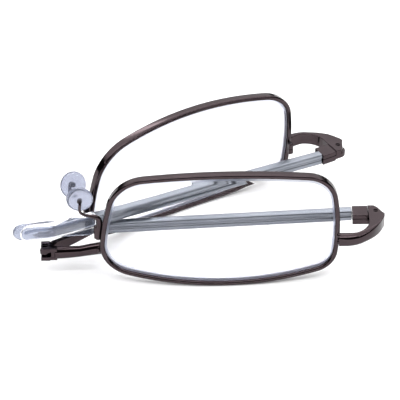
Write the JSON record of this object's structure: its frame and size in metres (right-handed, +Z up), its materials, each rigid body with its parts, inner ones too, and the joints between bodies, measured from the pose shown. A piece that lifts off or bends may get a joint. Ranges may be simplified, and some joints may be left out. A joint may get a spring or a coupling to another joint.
{
  "type": "folding reading glasses",
  "caption": "Compact reading glasses with a hinged bridge and telescoping temples, part folded and standing upside down on the brow rims.",
  "frame": {"origin": "centre of the footprint, on the surface that the brow rims stand on", "axes": "+X along the right lens, from the bridge hinge towards the temple hinge; +Y backwards, from the right lens towards the left one; +Z up"},
  "size_m": [0.0752, 0.0396, 0.0258],
  "materials": {
    "plated_gunmetal": "bright dark gunmetal plating",
    "dark_steel": "dark steel screws and small fittings",
    "satin_silver": "satin blue-grey plating",
    "clear_plastic": "clear moulded plastic with a faint lavender tint",
    "lens": "clear polished lens"
  },
  "bodies": {
    "right_frame": {"right_eyewire": "plated_gunmetal", "right_lens": "lens", "right_rim_lock": "plated_gunmetal", "right_rim_screw": "dark_steel", "right_end_piece": "plated_gunmetal", "right_bridge_arm": "plated_gunmetal", "right_pad_arm": "plated_gunmetal", "right_temple_screw": "dark_steel", "bridge_screw": "dark_steel"},
    "right_temple": {"right_hinge_block": "plated_gunmetal", "right_inner_bar": "plated_gunmetal", "right_bar_stop": "dark_steel"},
    "right_sleeve": {"right_sleeve": "satin_silver", "right_temple_tip": "clear_plastic"},
    "right_pad": {"right_pad_mount": "dark_steel", "right_nose_pad": "clear_plastic"},
    "left_frame": {"left_eyewire": "plated_gunmetal", "left_lens": "lens", "left_rim_lock": "plated_gunmetal", "left_rim_screw": "dark_steel", "left_end_piece": "plated_gunmetal", "left_bridge_arm": "plated_gunmetal", "left_pad_arm": "plated_gunmetal", "left_temple_screw": "dark_steel"},
    "left_temple": {"left_hinge_block": "plated_gunmetal", "left_inner_bar": "plated_gunmetal", "left_bar_stop": "dark_steel"},
    "left_sleeve": {"left_sleeve": "satin_silver", "left_temple_tip": "clear_plastic"},
    "left_pad": {"left_pad_mount": "dark_steel", "left_nose_pad": "clear_plastic"}
  },
  "joints": [
    {"name": "bridge_fold", "type": "hinge", "parent": "right_frame", "child": "left_frame", "pos_m": [-0.03109, -0.01407, 0.01186], "axis": [0, 0, 1], "range_deg": [0, 150]},
    {"name": "right_temple_fold", "type": "hinge", "parent": "right_frame", "child": "right_temple", "pos_m": [0.03576, -0.00917, 0.00916], "axis": [0, 0, -1], "range_deg": [-1, 0]},
    {"name": "right_temple_slide", "type": "slide", "parent": "right_temple", "child": "right_sleeve", "axis": [-0.9991, -0.041, -0.0105], "range_m": [0, 0.036]},
    {"name": "right_pad_rock", "type": "hinge", "parent": "right_frame", "child": "right_pad", "pos_m": [-0.02384, -0.01482, 0.01861], "axis": [0, 0, 1], "range_deg": [-8, 8]},
    {"name": "left_temple_fold", "type": "hinge", "parent": "left_frame", "child": "left_temple", "pos_m": [0.02966, 0.01427, 0.00916], "axis": [0, 0, 1], "range_deg": [-1, 0]},
    {"name": "left_temple_slide", "type": "slide", "parent": "left_temple", "child": "left_sleeve", "axis": [-0.8911, -0.4511, 0.0497], "range_m": [0, 0.036]},
    {"name": "left_pad_rock", "type": "hinge", "parent": "left_frame", "child": "left_pad", "pos_m": [-0.02513, -0.00988, 0.01861], "axis": [0, 0, 1], "range_deg": [-8, 8]}
  ]
}
